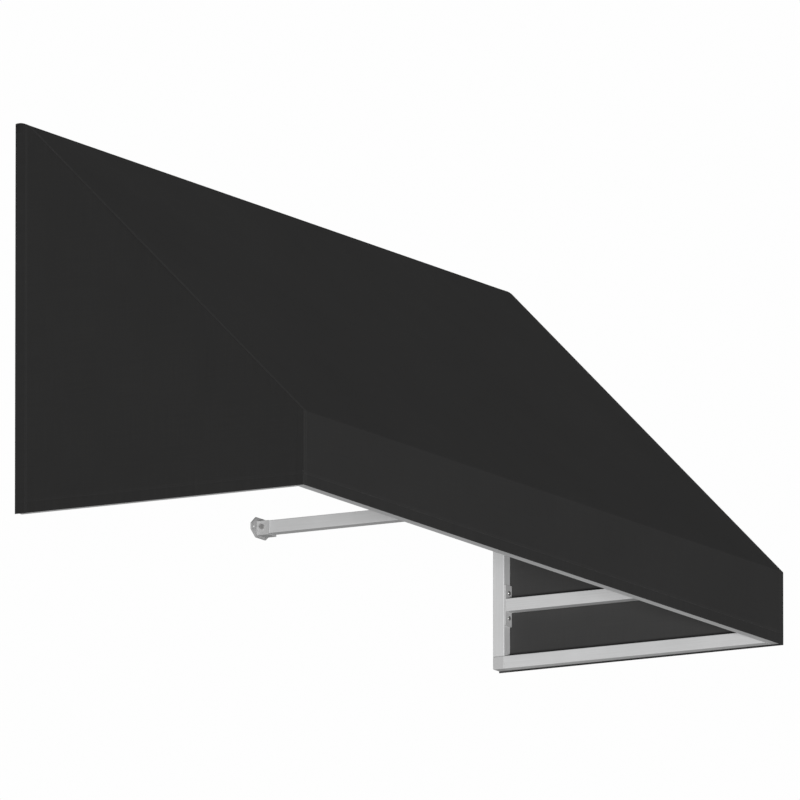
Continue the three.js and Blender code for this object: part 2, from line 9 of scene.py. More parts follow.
import bpy
import numpy as np
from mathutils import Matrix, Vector


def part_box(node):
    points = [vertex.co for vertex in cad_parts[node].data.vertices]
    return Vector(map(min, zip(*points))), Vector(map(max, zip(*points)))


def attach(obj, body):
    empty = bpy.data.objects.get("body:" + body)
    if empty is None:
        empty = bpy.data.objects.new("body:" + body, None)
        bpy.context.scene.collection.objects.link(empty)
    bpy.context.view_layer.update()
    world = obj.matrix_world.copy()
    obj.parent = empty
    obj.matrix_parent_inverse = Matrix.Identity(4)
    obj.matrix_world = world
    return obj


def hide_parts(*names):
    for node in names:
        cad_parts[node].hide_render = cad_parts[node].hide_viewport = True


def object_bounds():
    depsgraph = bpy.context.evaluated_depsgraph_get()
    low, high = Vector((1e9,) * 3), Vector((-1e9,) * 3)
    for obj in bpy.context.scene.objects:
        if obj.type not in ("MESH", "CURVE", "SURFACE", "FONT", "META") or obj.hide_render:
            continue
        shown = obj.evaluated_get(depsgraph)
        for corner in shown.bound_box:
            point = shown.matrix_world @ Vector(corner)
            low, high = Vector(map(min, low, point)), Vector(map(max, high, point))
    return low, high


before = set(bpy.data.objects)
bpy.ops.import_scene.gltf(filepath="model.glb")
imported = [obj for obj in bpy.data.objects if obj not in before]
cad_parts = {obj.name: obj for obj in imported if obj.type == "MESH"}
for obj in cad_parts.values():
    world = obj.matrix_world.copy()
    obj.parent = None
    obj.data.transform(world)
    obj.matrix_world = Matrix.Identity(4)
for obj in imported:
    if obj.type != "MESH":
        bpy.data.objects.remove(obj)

cad_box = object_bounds()
scene = bpy.context.scene
MM = 0.001

# ---- Places taken from the frame ----------------------------------------------------------

COVER_LOW, COVER_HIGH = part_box("top_panel")
WING_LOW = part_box("left_wing")[0]
HALF_WIDTH = -WING_LOW.x
HEM = COVER_LOW.z
RIDGE_TOP = COVER_HIGH.z
PROJECTION = -COVER_LOW.y
EAVE_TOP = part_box("eave_tube")[1].z
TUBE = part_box("eave_tube")[1].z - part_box("eave_tube")[0].z
FRAME_HALF_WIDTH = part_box("right_wall_upright")[1].x
SIDES = ((-1, "left"), (1, "right"))

# ---- Sizes of the cloth -------------------------------------------------------------------

CLOTH = 0.45 * MM           # thickness of the woven canvas
LAYER = 0.47 * MM           # from one layer of cloth to the next
TURN_START = CLOTH * 2      # the cloth starts to turn in this far from its edge
FOLD_AT = EAVE_TOP + 2.2 * MM    # height of the sharp corner between slope and valance
RIDGE_RADIUS = 31 * MM      # outside of the turn over the header
RIDGE_REACH = 8 * MM        # the centre of that turn
FOLD_RADIUS = 3 * MM        # outside of the turn at the eave
HEM_WIDTH = 25 * MM         # of the hems at the bottom and at the wings' wall edges
SEAM_WIDTH = 14 * MM        # of the allowances along each wing and at the ridge
SAG = 2.5 * MM              # how far the slope sinks between two rafters
SAG_FULLNESS = 0.7          # under 1 widens the sag down the slope
BILLOW = 1.2 * MM           # how far a wing is sucked in
BILLOW_UP = 0.26, 0.9       # where that starts and ends, in shares of the height
BILLOW_OUT = TUBE, 0.47     # and by reach


# ---- Shader nodes -------------------------------------------------------------------------

class Wire:
    """A shader value. Arithmetic on it adds Math nodes to its material."""

    def __init__(self, finish, socket):
        self.finish = finish
        self.socket = socket

    def maths(self, operation, first, second):
        """The result of a Math node on two values or wires."""
        return self.finish.node("ShaderNodeMath", {"operation": operation}, {0: first, 1: second})

    def __add__(self, other):
        return self.maths("ADD", self, other)

    def __sub__(self, other):
        return self.maths("SUBTRACT", self, other)

    def __rsub__(self, other):
        return self.maths("SUBTRACT", other, self)

    def __mul__(self, other):
        return self.maths("MULTIPLY", self, other)

    def __abs__(self):
        return self.maths("ABSOLUTE", self, 0.0)

    __radd__ = __add__
    __rmul__ = __mul__


class Finish:
    """A material made of nodes."""

    def __init__(self, name):
        self.material = bpy.data.materials.new(name)
        self.material.use_nodes = True
        self.tree = self.material.node_tree
        self.tree.nodes.clear()

    def node(self, kind, settings=None, sockets=None, output=0):
        """Adds a node: its settings first, then the values or links of its sockets."""
        made = self.tree.nodes.new(kind)
        for key, value in (settings or {}).items():
            setattr(made, key, value)
        for key, value in (sockets or {}).items():
            if isinstance(value, Wire):
                self.tree.links.new(value.socket, made.inputs[key])
            else:
                made.inputs[key].default_value = value
        return Wire(self, made.outputs[output]) if len(made.outputs) else None

    def parts(self, vector):
        """The three numbers of a vector."""
        split = self.node("ShaderNodeSeparateXYZ", sockets={0: vector}).socket.node
        return [Wire(self, split.outputs[i]) for i in range(3)]

    def object_place(self):
        """Where a point lies, in metres."""
        return self.node("ShaderNodeTexCoord", output=3)

    def sine(self, value):
        """The sine of a value in radians."""
        return self.node("ShaderNodeMath", {"operation": "SINE"}, {0: value})

    def smooth(self, value, low, high, start=0.0, end=1.0):
        """start below low, end above high, and a smooth step between."""
        return self.node(
            "ShaderNodeMapRange",
            {"interpolation_type": "SMOOTHSTEP"},
            {"Value": value, "From Min": low, "From Max": high, "To Min": start, "To Max": end},
        )

    def stretched(self, vector, scale, turn=(0, 0, 0)):
        """A vector turned, then scaled by axis. In metres, scale is noise cells a metre."""
        turned = self.node("ShaderNodeMapping", sockets={"Vector": vector, "Rotation": turn})
        return self.node("ShaderNodeVectorMath", {"operation": "MULTIPLY"}, {0: turned, 1: scale})

    def noise(self, vector, scale=1.0, detail=2.0, roughness=0.5):
        """Perlin noise from 0 to 1."""
        return self.node(
            "ShaderNodeTexNoise",
            sockets={"Vector": vector, "Scale": scale, "Detail": detail, "Roughness": roughness},
        )

    def blend(self, share, first, second):
        """A colour share of the way from first to second."""
        return self.node(
            "ShaderNodeMix",
            {"data_type": "RGBA"},
            {"Factor": share, 6: first, 7: second},
            output=2,
        )

    def surface(self, **values):
        """Ends the material in a Principled surface."""
        shader = self.node("ShaderNodeBsdfPrincipled", sockets=values)
        self.node("ShaderNodeOutputMaterial", sockets={"Surface": shader})
        return self.material


def grey(value, warmth=0.0):
    """A neutral linear colour, pushed a little to warm or cool."""
    return (value * (1 + warmth), value, value * (1 - warmth), 1.0)


# ---- Finishes -----------------------------------------------------------------------------

YARN = 0.9 * MM             # pitch of the canvas's yarns
PLY = 0.9 * MM              # pitch of the thread's plies
CHARCOAL = 0.0246           # linear brightness of the canvas
REVERSE_PAINTED_LIGHT_TONE = 1.95         # painted light: the reverse is drawn this much lighter, for the light inside the cover, chosen for its look
TUBE_BRIGHTNESS = 0.72
CASTING_BRIGHTNESS = 0.61
BRACKET_PAINTED_SHADE_BRIGHTNESS = 0.52   # painted shade: the wall bracket and the centre arm are drawn darker than the rest
ARM_PAINTED_SHADE_TONE = 0.88
ALUMINIUM_METALLIC = 0.25   # chosen for its dull look, not a measure of the bare metal


def canvas(name, brightness):
    """Plain-woven canvas, on the flat cut of each panel.

    Warp and weft are rows of half sines one yarn apart. The product of the two sines says
    which of them lies on top, and the dips between yarns are painted shade, darker than their
    crowns. Slow noise drawn out along each yarn varies its shade.
    The map "hems" holds the distance to the nearest upright and level edge, in hem widths:
    the turned-in layer presses a step through the face where that passes 1, which is drawn a
    little lighter, and the seams pucker in short ripples that fade by 2.2. The ripples' hollows
    are painted shade, darker than their crests.
    """
    f = Finish(name)
    cut = f.node("ShaderNodeUVMap", {"uv_map": "cut"})
    across, along, _ = f.parts(cut)
    warp = f.sine(across * (math.pi / YARN))
    weft = f.sine(along * (math.pi / YARN))
    on_top = f.smooth(warp * weft, -0.35, 0.35)
    relief = abs(warp) * on_top + abs(weft) * (1 - on_top)
    across_yarn, along_yarn = 700, 9    # noise cells a metre
    slub_warp = f.noise(f.stretched(cut, (across_yarn, along_yarn, 1)), detail=3)
    slub_weft = f.noise(f.stretched(cut, (along_yarn, across_yarn, 1)), detail=3)
    slub = slub_warp * on_top + slub_weft * (1 - on_top)
    clouds = f.noise(f.stretched(cut, (3.1, 3.1, 1)), detail=4, roughness=0.6)
    creases = f.noise(f.stretched(cut, (9, 5, 1)), detail=2) - 0.5

    upright, level, _ = f.parts(f.node("ShaderNodeUVMap", {"uv_map": "hems"}))

    def along_hems(shape):
        """A shape of the distance to an edge, along the upright and the level edges."""
        return shape(upright) + shape(level)

    steps = along_hems(lambda away: f.smooth(away, 0.95, 1.05, 1, 0))
    # a line drawn a little lighter along the step where the turned-in layer ends
    lightened = along_hems(lambda away: f.smooth(abs(away - 1), 0.0, 0.14, 1, 0))
    edge = along_hems(lambda away: f.smooth(away, 0.02, 0.12, 1, 0))
    along_hem, across_hem = 75, 12      # noise cells a metre
    ripples_up = f.noise(f.stretched(cut, (across_hem, along_hem, 1)), detail=1) - 0.5
    ripples_level = f.noise(f.stretched(cut, (along_hem, across_hem, 1)), detail=1) - 0.5
    pucker = f.smooth(upright, 0.3, 2.2, 1, 0) * ripples_up
    pucker = pucker + f.smooth(level, 0.3, 2.2, 1, 0) * ripples_level

    # The shade runs from 0, dark, to 1, light. The heights are in millimetres.
    # painted shade: the relief term darkens the dips between the yarns
    shade = 0.72 + 0.2 * relief + 0.3 * (slub - 0.5) + 0.16 * (clouds - 0.5)
    # painted shade: the pucker term darkens the ripples' hollows and lightens their crests
    shade = shade + 0.07 * lightened + 0.05 * edge + 0.10 * pucker
    colour = f.blend(shade, grey(0.004), grey(brightness * 1.25, 0.006))
    height = 0.035 * relief + 0.3 * steps + 0.7 * pucker + 1.6 * creases
    bump = f.node("ShaderNodeBump", sockets={"Height": height, "Strength": 1.0, "Distance": MM})
    roughness = 0.92 + 0.1 * (slub - 0.5)
    return f.surface(**{
        "Base Color": colour,
        "Roughness": roughness,
        "Specular IOR Level": 0.0,
        "Normal": bump,
    })


def drawn_aluminium(name, brightness, grain, turn=(0, 0, 0)):
    """Mill-finish extrusion: die lines run along the tube, over cloudy oxide and fine scuffs.

    The die lines are noise squeezed across the tube and drawn out along it; grain is that
    scale by axis, after the piece is turned so that one axis lies along the tube.
    """
    f = Finish(name)
    place = f.object_place()
    lines = f.noise(f.stretched(place, grain, turn), detail=3, roughness=0.6)
    clouds = f.noise(place, scale=9, detail=4, roughness=0.6)
    scuffs = f.smooth(f.noise(place, scale=70, detail=5, roughness=0.75), 0.62, 0.74)
    shade = 0.5 + 0.7 * (lines - 0.5) + 0.5 * (clouds - 0.5) - 0.18 * scuffs
    colour = f.blend(shade, grey(brightness * 0.82), grey(brightness * 1.14, -0.006))
    roughness = 0.56 + 0.2 * (lines - 0.5) + 0.12 * scuffs + 0.12 * (clouds - 0.5)
    bump = f.node(
        "ShaderNodeBump",
        sockets={"Height": lines, "Strength": 0.12, "Distance": 0.2 * MM},
    )
    return f.surface(**{
        "Base Color": colour,
        "Roughness": roughness,
        "Metallic": ALUMINIUM_METALLIC,
        "Normal": bump,
    })


def cast_aluminium(name, brightness):
    """Tumbled die casting: a fine pebbled skin, darker in its pits, with rubbed patches."""
    f = Finish(name)
    place = f.object_place()
    pebble = f.noise(place, scale=900, detail=3, roughness=0.65)
    clouds = f.noise(place, scale=26, detail=4, roughness=0.6)
    lightened = f.smooth(clouds, 0.5, 0.66)
    shade = 0.45 + 0.5 * (pebble - 0.5) + 0.35 * lightened
    colour = f.blend(shade, grey(brightness * 0.78), grey(brightness * 1.18))
    bump = f.node(
        "ShaderNodeBump",
        sockets={"Height": pebble, "Strength": 0.25, "Distance": 0.25 * MM},
    )
    return f.surface(**{
        "Base Color": colour,
        "Roughness": 0.64 - 0.12 * lightened,
        "Metallic": ALUMINIUM_METALLIC,
        "Normal": bump,
    })


def stainless(name):
    """Turned stainless steel with a fine brushed skin."""
    f = Finish(name)
    place = f.object_place()
    brushed = f.noise(f.stretched(place, (300, 300, 2500)), detail=2)
    clouds = f.noise(place, scale=120, detail=2)
    shade = 0.5 + 0.8 * (brushed - 0.5) + 0.3 * (clouds - 0.5)
    colour = f.blend(shade, grey(0.42, 0.01), grey(0.66, 0.01))
    return f.surface(**{
        "Base Color": colour,
        "Roughness": 0.27 + 0.15 * (brushed - 0.5),
        "Metallic": 0.9,
    })


def sewing_thread(name):
    """Twisted polyester thread, a touch lighter than the canvas: its slanting plies are painted
    shade, darker between the plies.
    """
    f = Finish(name)
    place = f.object_place()
    x, y, z = f.parts(place)
    plies = f.sine((x + y + z) * (2 * math.pi / PLY))
    # painted shade: each ply's middle is drawn lighter and the groove between plies darker
    colour = f.blend(0.5 + 0.4 * plies, grey(0.018), grey(0.045))
    return f.surface(**{"Base Color": colour, "Roughness": 0.7, "Specular IOR Level": 0.3})


CANVAS = canvas("cover canvas", CHARCOAL)
# painted light: the reverse is the same canvas drawn lighter, for the light inside the cover
REVERSE = canvas("cover canvas reverse painted lighter", CHARCOAL * REVERSE_PAINTED_LIGHT_TONE)
THREAD = sewing_thread("cover thread")
CASTING = cast_aluminium("cast fittings", CASTING_BRIGHTNESS)
# painted shade: the wall bracket's casting is drawn darker, for the shade it sits in
SHADED_BRACKET_CASTING = cast_aluminium("cast wall bracket painted shade", BRACKET_PAINTED_SHADE_BRIGHTNESS)
STEEL = stainless("stainless fasteners")


# ---- Meshes -------------------------------------------------------------------------------

def numbered(points, first=0):
    """The number of each point of a grid, counted row by row."""
    rows, columns = points.shape[:2]
    return first + np.arange(rows * columns).reshape(rows, columns)


def quads_between(index):
    """The faces between neighbouring rows and columns of a grid of point numbers."""
    a, b = index[:-1, :-1], index[:-1, 1:]
    c, d = index[1:, 1:], index[1:, :-1]
    return np.stack([a, b, c, d], axis=-1).reshape(-1, 4)


def make_piece(name, points, faces, finish, maps=None):
    """A smooth piece of the cover. maps gives each point two numbers under a name."""
    mesh = bpy.data.meshes.new(name)
    mesh.from_pydata(points.reshape(-1, 3).tolist(), [], faces.tolist())
    corners = np.empty(len(mesh.loops), np.int32)
    mesh.loops.foreach_get("vertex_index", corners)
    for title, values in (maps or {}).items():
        layer = mesh.uv_layers.new(name=title)
        layer.uv.foreach_set("vector", values.reshape(-1, 2)[corners].ravel().astype(np.float32))
    mesh.polygons.foreach_set("use_smooth", np.full(len(mesh.polygons), True))
    mesh.materials.append(finish)
    piece = bpy.data.objects.new(name, mesh)
    scene.collection.objects.link(piece)
    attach(piece, "root")
    return piece


def make_cloth(name, points, faces, cut, hems):
    """A sheet of canvas: its face on the outside, its reverse on the inside, drawn lighter as
    painted light.
    """
    piece = make_piece(name, points, faces, CANVAS, {"cut": cut, "hems": hems})
    piece.data.materials.append(REVERSE)
    piece.data.set_sharp_from_angle(angle=math.radians(40))
    solid = piece.modifiers.new("thickness", "SOLIDIFY")
    solid.thickness = CLOTH
    solid.offset = 0.0
    solid.material_offset = 1
    return piece


# ---- Lines of points ----------------------------------------------------------------------

def lengths(points):
    """How far along a line of points each one is."""
    steps = np.linalg.norm(np.diff(points, axis=0), axis=1)
    return np.concatenate([[0.0], np.cumsum(steps)])


def unroll(values):
    """Distance travelled along each row of values that may turn back."""
    start = np.zeros(values.shape[:-1] + (1,))
    return np.concatenate([start, np.cumsum(np.abs(np.diff(values)), axis=-1)], axis=-1)


def at_lengths(places, steps, values):
    """Values along a line, read off at the given lengths."""
    columns = range(values.shape[1])
    return np.stack([np.interp(places, steps, values[:, i]) for i in columns], axis=1)


def to_space(x, reach, height):
    """Points or directions in space from X, reach and height."""
    return np.stack(np.broadcast_arrays(x, -reach, height), axis=-1)


def table(across, down):
    """Pairs of one value for the column and one for the row."""
    return np.stack(np.broadcast_arrays(across[None, :], down[:, None]), axis=-1)


def hump(value, low, high):
    """A smooth hump: 0 at low, at high and outside them, and 1 in the middle."""
    share = np.clip((value - low) / (high - low), 0, 1)
    return np.sin(np.pi * share) ** 2


# ---- The cover's outline ------------------------------------------------------------------

RIDGE_HEIGHT = RIDGE_TOP - RIDGE_RADIUS
SLOPE_RUN = PROJECTION - RIDGE_REACH
SLOPE_RISE = RIDGE_HEIGHT - FOLD_AT
# The slope is the tangent from the fold to the circle that the ridge turns on.
TANGENT = math.asin(RIDGE_RADIUS / math.hypot(SLOPE_RUN, SLOPE_RISE))
PITCH = math.atan2(SLOPE_RISE, SLOPE_RUN) + TANGENT
RIDGE_STEPS, SLOPE_STEPS, FOLD_STEPS, VALANCE_STEPS = 14, 70, 6, 16


def slope_height(reach, depth):
    """Height of the line that runs parallel to the slope, depth inside it."""
    return FOLD_AT + (PROJECTION - reach) * math.tan(PITCH) - depth / math.cos(PITCH)


def turn(centre, radius, start, end, steps):
    """Points [reach, height] on an arc, with the normal at each, from start to end."""
    angle = np.linspace(start, end, steps + 1)
    normal = np.stack([np.cos(angle), np.sin(angle)], axis=1)
    return np.array(centre) + radius * normal, normal


def drop_line(depth):
    """The cover's profile, depth inside its outside face, from the wall down to the hem.

    An arc over the header, the straight slope, an arc at the eave and the upright valance.
    Returns points and outward normals, each as [reach, height], and the number of the point
    where the valance starts.
    """
    ridge = RIDGE_RADIUS - depth
    ridge_centre = (RIDGE_REACH, RIDGE_HEIGHT)
    wall_angle = math.acos(-RIDGE_REACH / ridge)
    slope_angle = math.pi / 2 - PITCH
    top, top_normal = turn(ridge_centre, ridge, wall_angle, slope_angle, RIDGE_STEPS)
    fold_reach = PROJECTION - FOLD_RADIUS
    fold_centre = (fold_reach, slope_height(fold_reach, FOLD_RADIUS))
    fold, fold_normal = turn(fold_centre, FOLD_RADIUS - depth, slope_angle, 0.0, FOLD_STEPS)
    share = np.linspace(0, 1, SLOPE_STEPS + 1)[1:-1, None]
    slope = top[-1] + share * (fold[0] - top[-1])
    hem_point = np.array([PROJECTION - depth, HEM + TURN_START])
    share = np.linspace(0, 1, VALANCE_STEPS + 1)[1:, None]
    valance = fold[-1] + share * (hem_point - fold[-1])
    points = np.concatenate([top, slope, fold, valance])
    normals = np.concatenate([
        top_normal,
        np.repeat(top_normal[-1:], len(slope), axis=0),
        fold_normal,
        np.repeat(fold_normal[-1:], len(valance), axis=0),
    ])
    return points, normals, len(points) - len(valance) - 1


def turned_in(width):
    """A hem: how far in from the edge its points lie, and under how many layers.

    The cloth goes round the edge in a half circle and comes back under itself.
    """
    angle = np.linspace(0, math.pi, 5)[1:]
    bend = CLOTH / 2 + LAYER / 2 * (1 - np.sin(angle))
    inside = np.concatenate([bend, [width / 2, width]])
    layers = np.concatenate([0.5 - 0.5 * np.cos(angle), [1, 1]])
    return inside, layers


# ---- The top panel ------------------------------------------------------------------------

HALF_COLUMNS = 84           # columns of points between the middle and a wing


def slope_sag(x, along, slope_start, slope_end):
    """How far the cloth sinks: a hump across each bay times a hump down the slope."""
    across = hump(np.abs(x), TUBE / 2, FRAME_HALF_WIDTH - TUBE)
    return SAG * across * hump(along, slope_start, slope_end) ** SAG_FULLNESS


def both_halves(half, sign):
    """A row of values over the whole width, from the right half and the left half's sign."""
    return np.concatenate([sign * half[:0:-1], half])


def top_panel():
    """Ridge, slope and valance as one sheet, hemmed all round. Returns it and its flat size.

    Rows follow the profile, and columns run across. At all four sides they turn in under the
    sheet. Each point is the profile's point moved in along its normal, by the layers it lies
    under and by the sag of its bay.
    """
    profile, normal, _ = drop_line(CLOTH / 2)
    along = lengths(profile)
    slope_start, slope_end = along[RIDGE_STEPS], along[RIDGE_STEPS + SLOPE_STEPS]
    seam_inside, seam_layers = turned_in(SEAM_WIDTH)
    hem_inside, hem_layers = turned_in(HEM_WIDTH)

    at_wall = seam_inside[::-1]
    at_hem = np.stack([np.full(len(hem_inside), profile[-1, 0]), HEM + hem_inside], axis=1)
    rows = np.concatenate([at_lengths(at_wall, along, profile), profile[1:-1], at_hem])
    wall_normals = at_lengths(at_wall, along, normal)
    row_normals = np.concatenate([wall_normals, normal[1:-1], normal[-len(hem_inside):]])
    row_layers = np.concatenate([seam_layers[::-1], np.zeros(len(profile) - 2), hem_layers])
    row_along = lengths(rows - row_normals * LAYER * row_layers[:, None])

    half = np.linspace(0, HALF_WIDTH - TURN_START, HALF_COLUMNS)
    half = np.concatenate([half, HALF_WIDTH - seam_inside])
    half_layers = np.concatenate([np.zeros(HALF_COLUMNS), seam_layers])
    x = both_halves(half, -1)
    x_along = both_halves(unroll(half), -1)
    column_layers = both_halves(half_layers, 1)

    depth = LAYER * (row_layers[:, None] + column_layers[None, :])
    face_along = row_along - row_along[len(at_wall)]    # from the first row of the face
    depth = depth + slope_sag(x[None, :], face_along[:, None], slope_start, slope_end)
    reach = rows[:, None, 0] - row_normals[:, None, 0] * depth
    height = rows[:, None, 1] - row_normals[:, None, 1] * depth
    points = to_space(x[None, :], reach, height)

    from_hem = np.abs(row_along[-1] - HEM_WIDTH - row_along) / HEM_WIDTH
    from_wall = np.abs(row_along - row_along[len(at_wall) - 1]) / SEAM_WIDTH
    from_side = np.abs(HALF_WIDTH - np.abs(x_along)) / SEAM_WIDTH
    cut = table(x_along, row_along)
    hems = table(from_side, np.minimum(from_hem, from_wall))
    faces = quads_between(numbered(points))[:, ::-1]
    piece = make_cloth("cover_top", points, faces, cut, hems)
    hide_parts("top_panel")
    return piece, (float(x_along[-1] - x_along[0]), float(row_along[-1]))


# ---- The wings ----------------------------------------------------------------------------

def wing_body(profile, corner):
    """Reach, height and layers of the points of a wing's body.

    Columns stand at the profile's points, after those of the wall's hem. Rows run from the
    hem up to the profile, spaced as the valance's points are, so the last column is the
    valance's upright edge.
    """
    low = HEM + TURN_START
    valance = profile[corner:, 1]
    share = (valance[::-1] - valance[-1]) / (valance[0] - valance[-1])
    inside, hem_layers = turned_in(HEM_WIDTH)
    reach = np.concatenate([inside[::-1], [TURN_START], profile[1:corner + 1, 0]])
    top = np.interp(reach, profile[:corner + 1, 0], profile[:corner + 1, 1])
    heights = np.concatenate([
        np.repeat((HEM + inside)[::-1, None], len(top), axis=1),
        low + share[:, None] * (top[None] - low),
    ])
    reach = np.repeat(reach[None], len(heights), axis=0)
    row_layers = np.concatenate([hem_layers[::-1], np.zeros(len(share))])
    column_layers = np.concatenate([hem_layers[::-1], np.zeros(corner + 1)])
    return reach, heights, row_layers[:, None] + column_layers[None, :]


def wing(side, name, node):
    """One flat end of the cover, hemmed at the bottom and at the wall.

    A strip along the slope and the valance turns in under the hem of the top panel. It stops
    short of the cover's other hems.
    """
    profile, _, corner = drop_line(CLOTH / 2 + 2 * LAYER)
    reach, heights, layers = wing_body(profile, corner)
    up_the_wing = (heights - HEM) / (RIDGE_TOP - HEM)
    billow = BILLOW * hump(up_the_wing, *BILLOW_UP) * hump(reach, *BILLOW_OUT)
    plane = HALF_WIDTH - CLOTH / 2
    body = to_space(side * (plane - LAYER * layers - billow), reach, heights)
    index = numbered(body)

    along = lengths(profile)
    clear_of_hems = (along > SEAM_WIDTH + MM) & (profile[:, 1] > HEM + HEM_WIDTH + MM)
    used = np.flatnonzero(clear_of_hems)
    inside = np.array([CLOTH, SEAM_WIDTH / 2, SEAM_WIDTH])
    strip = to_space(side * (plane - inside)[None, :], profile[used, :1], profile[used, 1:])
    slope_edge = index[-1, -corner - 1:]
    valance_edge = index[-2::-1, -1][:len(profile) - corner - 1]
    edge = np.concatenate([slope_edge, valance_edge])
    strip_index = numbered(strip, first=index.size)
    strip_index = np.concatenate([edge[used, None], strip_index], axis=1)
    faces = np.concatenate([quads_between(index), quads_between(strip_index)[:, ::-1]])
    if side > 0:
        faces = faces[:, ::-1]

    from_upright = np.minimum(reach / HEM_WIDTH, (PROJECTION - reach) / SEAM_WIDTH)
    to_slope = (heights[-1:] - heights) * math.cos(PITCH)
    from_level = np.minimum((heights - HEM) / HEM_WIDTH, to_slope / SEAM_WIDTH)
    body_cut = np.stack([unroll(reach), unroll(heights.T).T], axis=-1)
    body_hems = np.stack([from_upright, from_level], axis=-1)
    strip_hems = np.broadcast_to((0.0, 0.5), strip.shape[:2] + (2,))

    def with_strip(of_body, of_strip):
        """Values of all points, the body's first."""
        width = of_body.shape[-1]
        return np.concatenate([of_body.reshape(-1, width), of_strip.reshape(-1, width)])

    piece = make_cloth(
        name,
        with_strip(body, strip),
        faces,
        with_strip(body_cut, table(inside, along[used])),
        with_strip(body_hems, strip_hems),
    )
    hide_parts(node)
    return piece


# ---- Stitching ----------------------------------------------------------------------------

STITCH_PITCH = 3.6 * MM
STITCH_LENGTH = 0.84 * STITCH_PITCH
THREAD_RADIUS = 0.3 * MM
THREAD_SIDES = 4
STITCH_RISE = 0.75 * THREAD_RADIUS      # of its middle over its ends
STITCH_SUNK = 0.3 * THREAD_RADIUS       # how deep its ends lie in the cloth
SEAM_ROWS = (4.5 * MM, 10.5 * MM)       # in from the hip
HEM_ROW = HEM_WIDTH - 3 * MM            # in from a hem's edge
STRAIGHT_ROW_POINTS = 60


def stitch_shape():
    """One stitch: how far ahead, aside and outwards its points lie, and its faces.

    A thread with a diamond section arches out of one needle hole and into the next: its
    middle rises by sin(pi * share) and its ends taper into the cloth.
    """
    share = np.array([0.0, 0.16, 0.5, 0.84, 1.0])
    thick = THREAD_RADIUS * np.array([0.35, 0.9, 1.0, 0.9, 0.35])
    rise = STITCH_RISE * np.sin(np.pi * share) - STITCH_SUNK
    turns = np.arange(THREAD_SIDES) * 2 * math.pi / THREAD_SIDES
    ahead = np.repeat((share - 0.5) * STITCH_LENGTH, THREAD_SIDES)
    aside = (thick[:, None] * np.cos(turns)[None, :]).ravel()
    outwards = (rise[:, None] + thick[:, None] * np.sin(turns)[None, :]).ravel()
    rings = np.arange(len(ahead)).reshape(-1, THREAD_SIDES)
    sides = quads_between(np.concatenate([rings, rings[:, :1]], axis=1))
    ends = np.array([rings[0, ::-1], rings[-1]])
    return ahead, aside, outwards, np.concatenate([sides, ends])


def stitches(name, rows):
    """Lockstitches along rows, each row a line of points and the cloth's normals there."""
    centres, ahead, normals = [], [], []
    for line, normal in rows:
        steps = lengths(line)
        places = np.arange(STITCH_PITCH, steps[-1] - STITCH_PITCH / 2, STITCH_PITCH)
        start = at_lengths(places - STITCH_LENGTH / 2, steps, line)
        end = at_lengths(places + STITCH_LENGTH / 2, steps, line)
        centres.append(at_lengths(places, steps, line))
        normals.append(at_lengths(places, steps, normal))
        ahead.append(end - start)
    centres, ahead, normals = [np.concatenate(v) for v in (centres, ahead, normals)]
    ahead /= np.linalg.norm(ahead, axis=1, keepdims=True)
    aside = np.cross(normals, ahead)

    lengthwise, sideways, outwards, shape_faces = stitch_shape()
    points = (
        centres[:, None]
        + ahead[:, None] * lengthwise[None, :, None]
        + aside[:, None] * sideways[None, :, None]
        + normals[:, None] * outwards[None, :, None]
    )
    first = np.arange(len(centres)) * len(lengthwise)
    faces = (first[:, None, None] + shape_faces[None]).reshape(-1, 4)
    return make_piece(name, points, faces, THREAD)


def row_down_profile(x, depth, facing):
    """A row of stitches down the cover at one X, on its outside (1) or its inside (-1)."""
    profile, normal, _ = drop_line(depth)
    line = to_space(x, profile[:, 0], profile[:, 1])
    return line, facing * to_space(0.0, normal[:, 0], normal[:, 1])


def straight_row(start, end, normal):
    """A row of stitches from start to end, which stand out along the normal."""
    line = np.linspace(start, end, STRAIGHT_ROW_POINTS)
    return line, np.repeat(np.array([normal], float), len(line), axis=0)


def stitch_rows(side):
    """Every row on one half of the cover: two down the hip, one round each hem.

    Each shows on the outside and, two or three layers further in, on the inside.
    """
    seam, hem = [], []
    for inset in SEAM_ROWS:
        x = side * (HALF_WIDTH - inset)
        seam.append(row_down_profile(x, 0.0, 1))
        seam.append(row_down_profile(x, CLOTH + 2 * LAYER, -1))
    height = HEM + HEM_ROW
    ridge = drop_line(CLOTH + 2 * LAYER)[0][:RIDGE_STEPS]
    top_at_wall = np.interp(HEM_ROW, ridge[:, 0], ridge[:, 1])
    for depth, facing in ((0.0, 1), (CLOTH + LAYER, -1)):
        x = side * (HALF_WIDTH - depth)
        y = depth - PROJECTION
        outwards = (side * facing, 0, 0)
        hem.append(straight_row((x, 0, height), (x, -PROJECTION, height), outwards))
        hem.append(straight_row((x, -HEM_ROW, HEM), (x, -HEM_ROW, top_at_wall), outwards))
        hem.append(straight_row((0, y, height), (side * HALF_WIDTH, y, height), (0, -facing, 0)))
    return seam, hem


# ---- The cover ----------------------------------------------------------------------------

cover_top, top_flat = top_panel()
for side, word in SIDES:
    seam, hem = stitch_rows(side)
    stitches(f"cover_{word}_seam_stitches", seam)
    stitches(f"cover_{word}_hem_stitches", hem)

for side, word in SIDES:
    visible_area = (FOLD_AT - HEM + RIDGE_TOP - HEM) / 2 * PROJECTION
    turned_area = HEM_WIDTH * (PROJECTION + RIDGE_TOP - HEM) + SEAM_WIDTH * top_flat[1]
    wing(side, f"cover_{word}_wing", f"{word}_wing")
    visible_area + turned_area


# ---- The frame keeps its shape and gets its finish ----------------------------------------

ALONG, ACROSS = 6, 900      # noise cells a metre along and across a tube


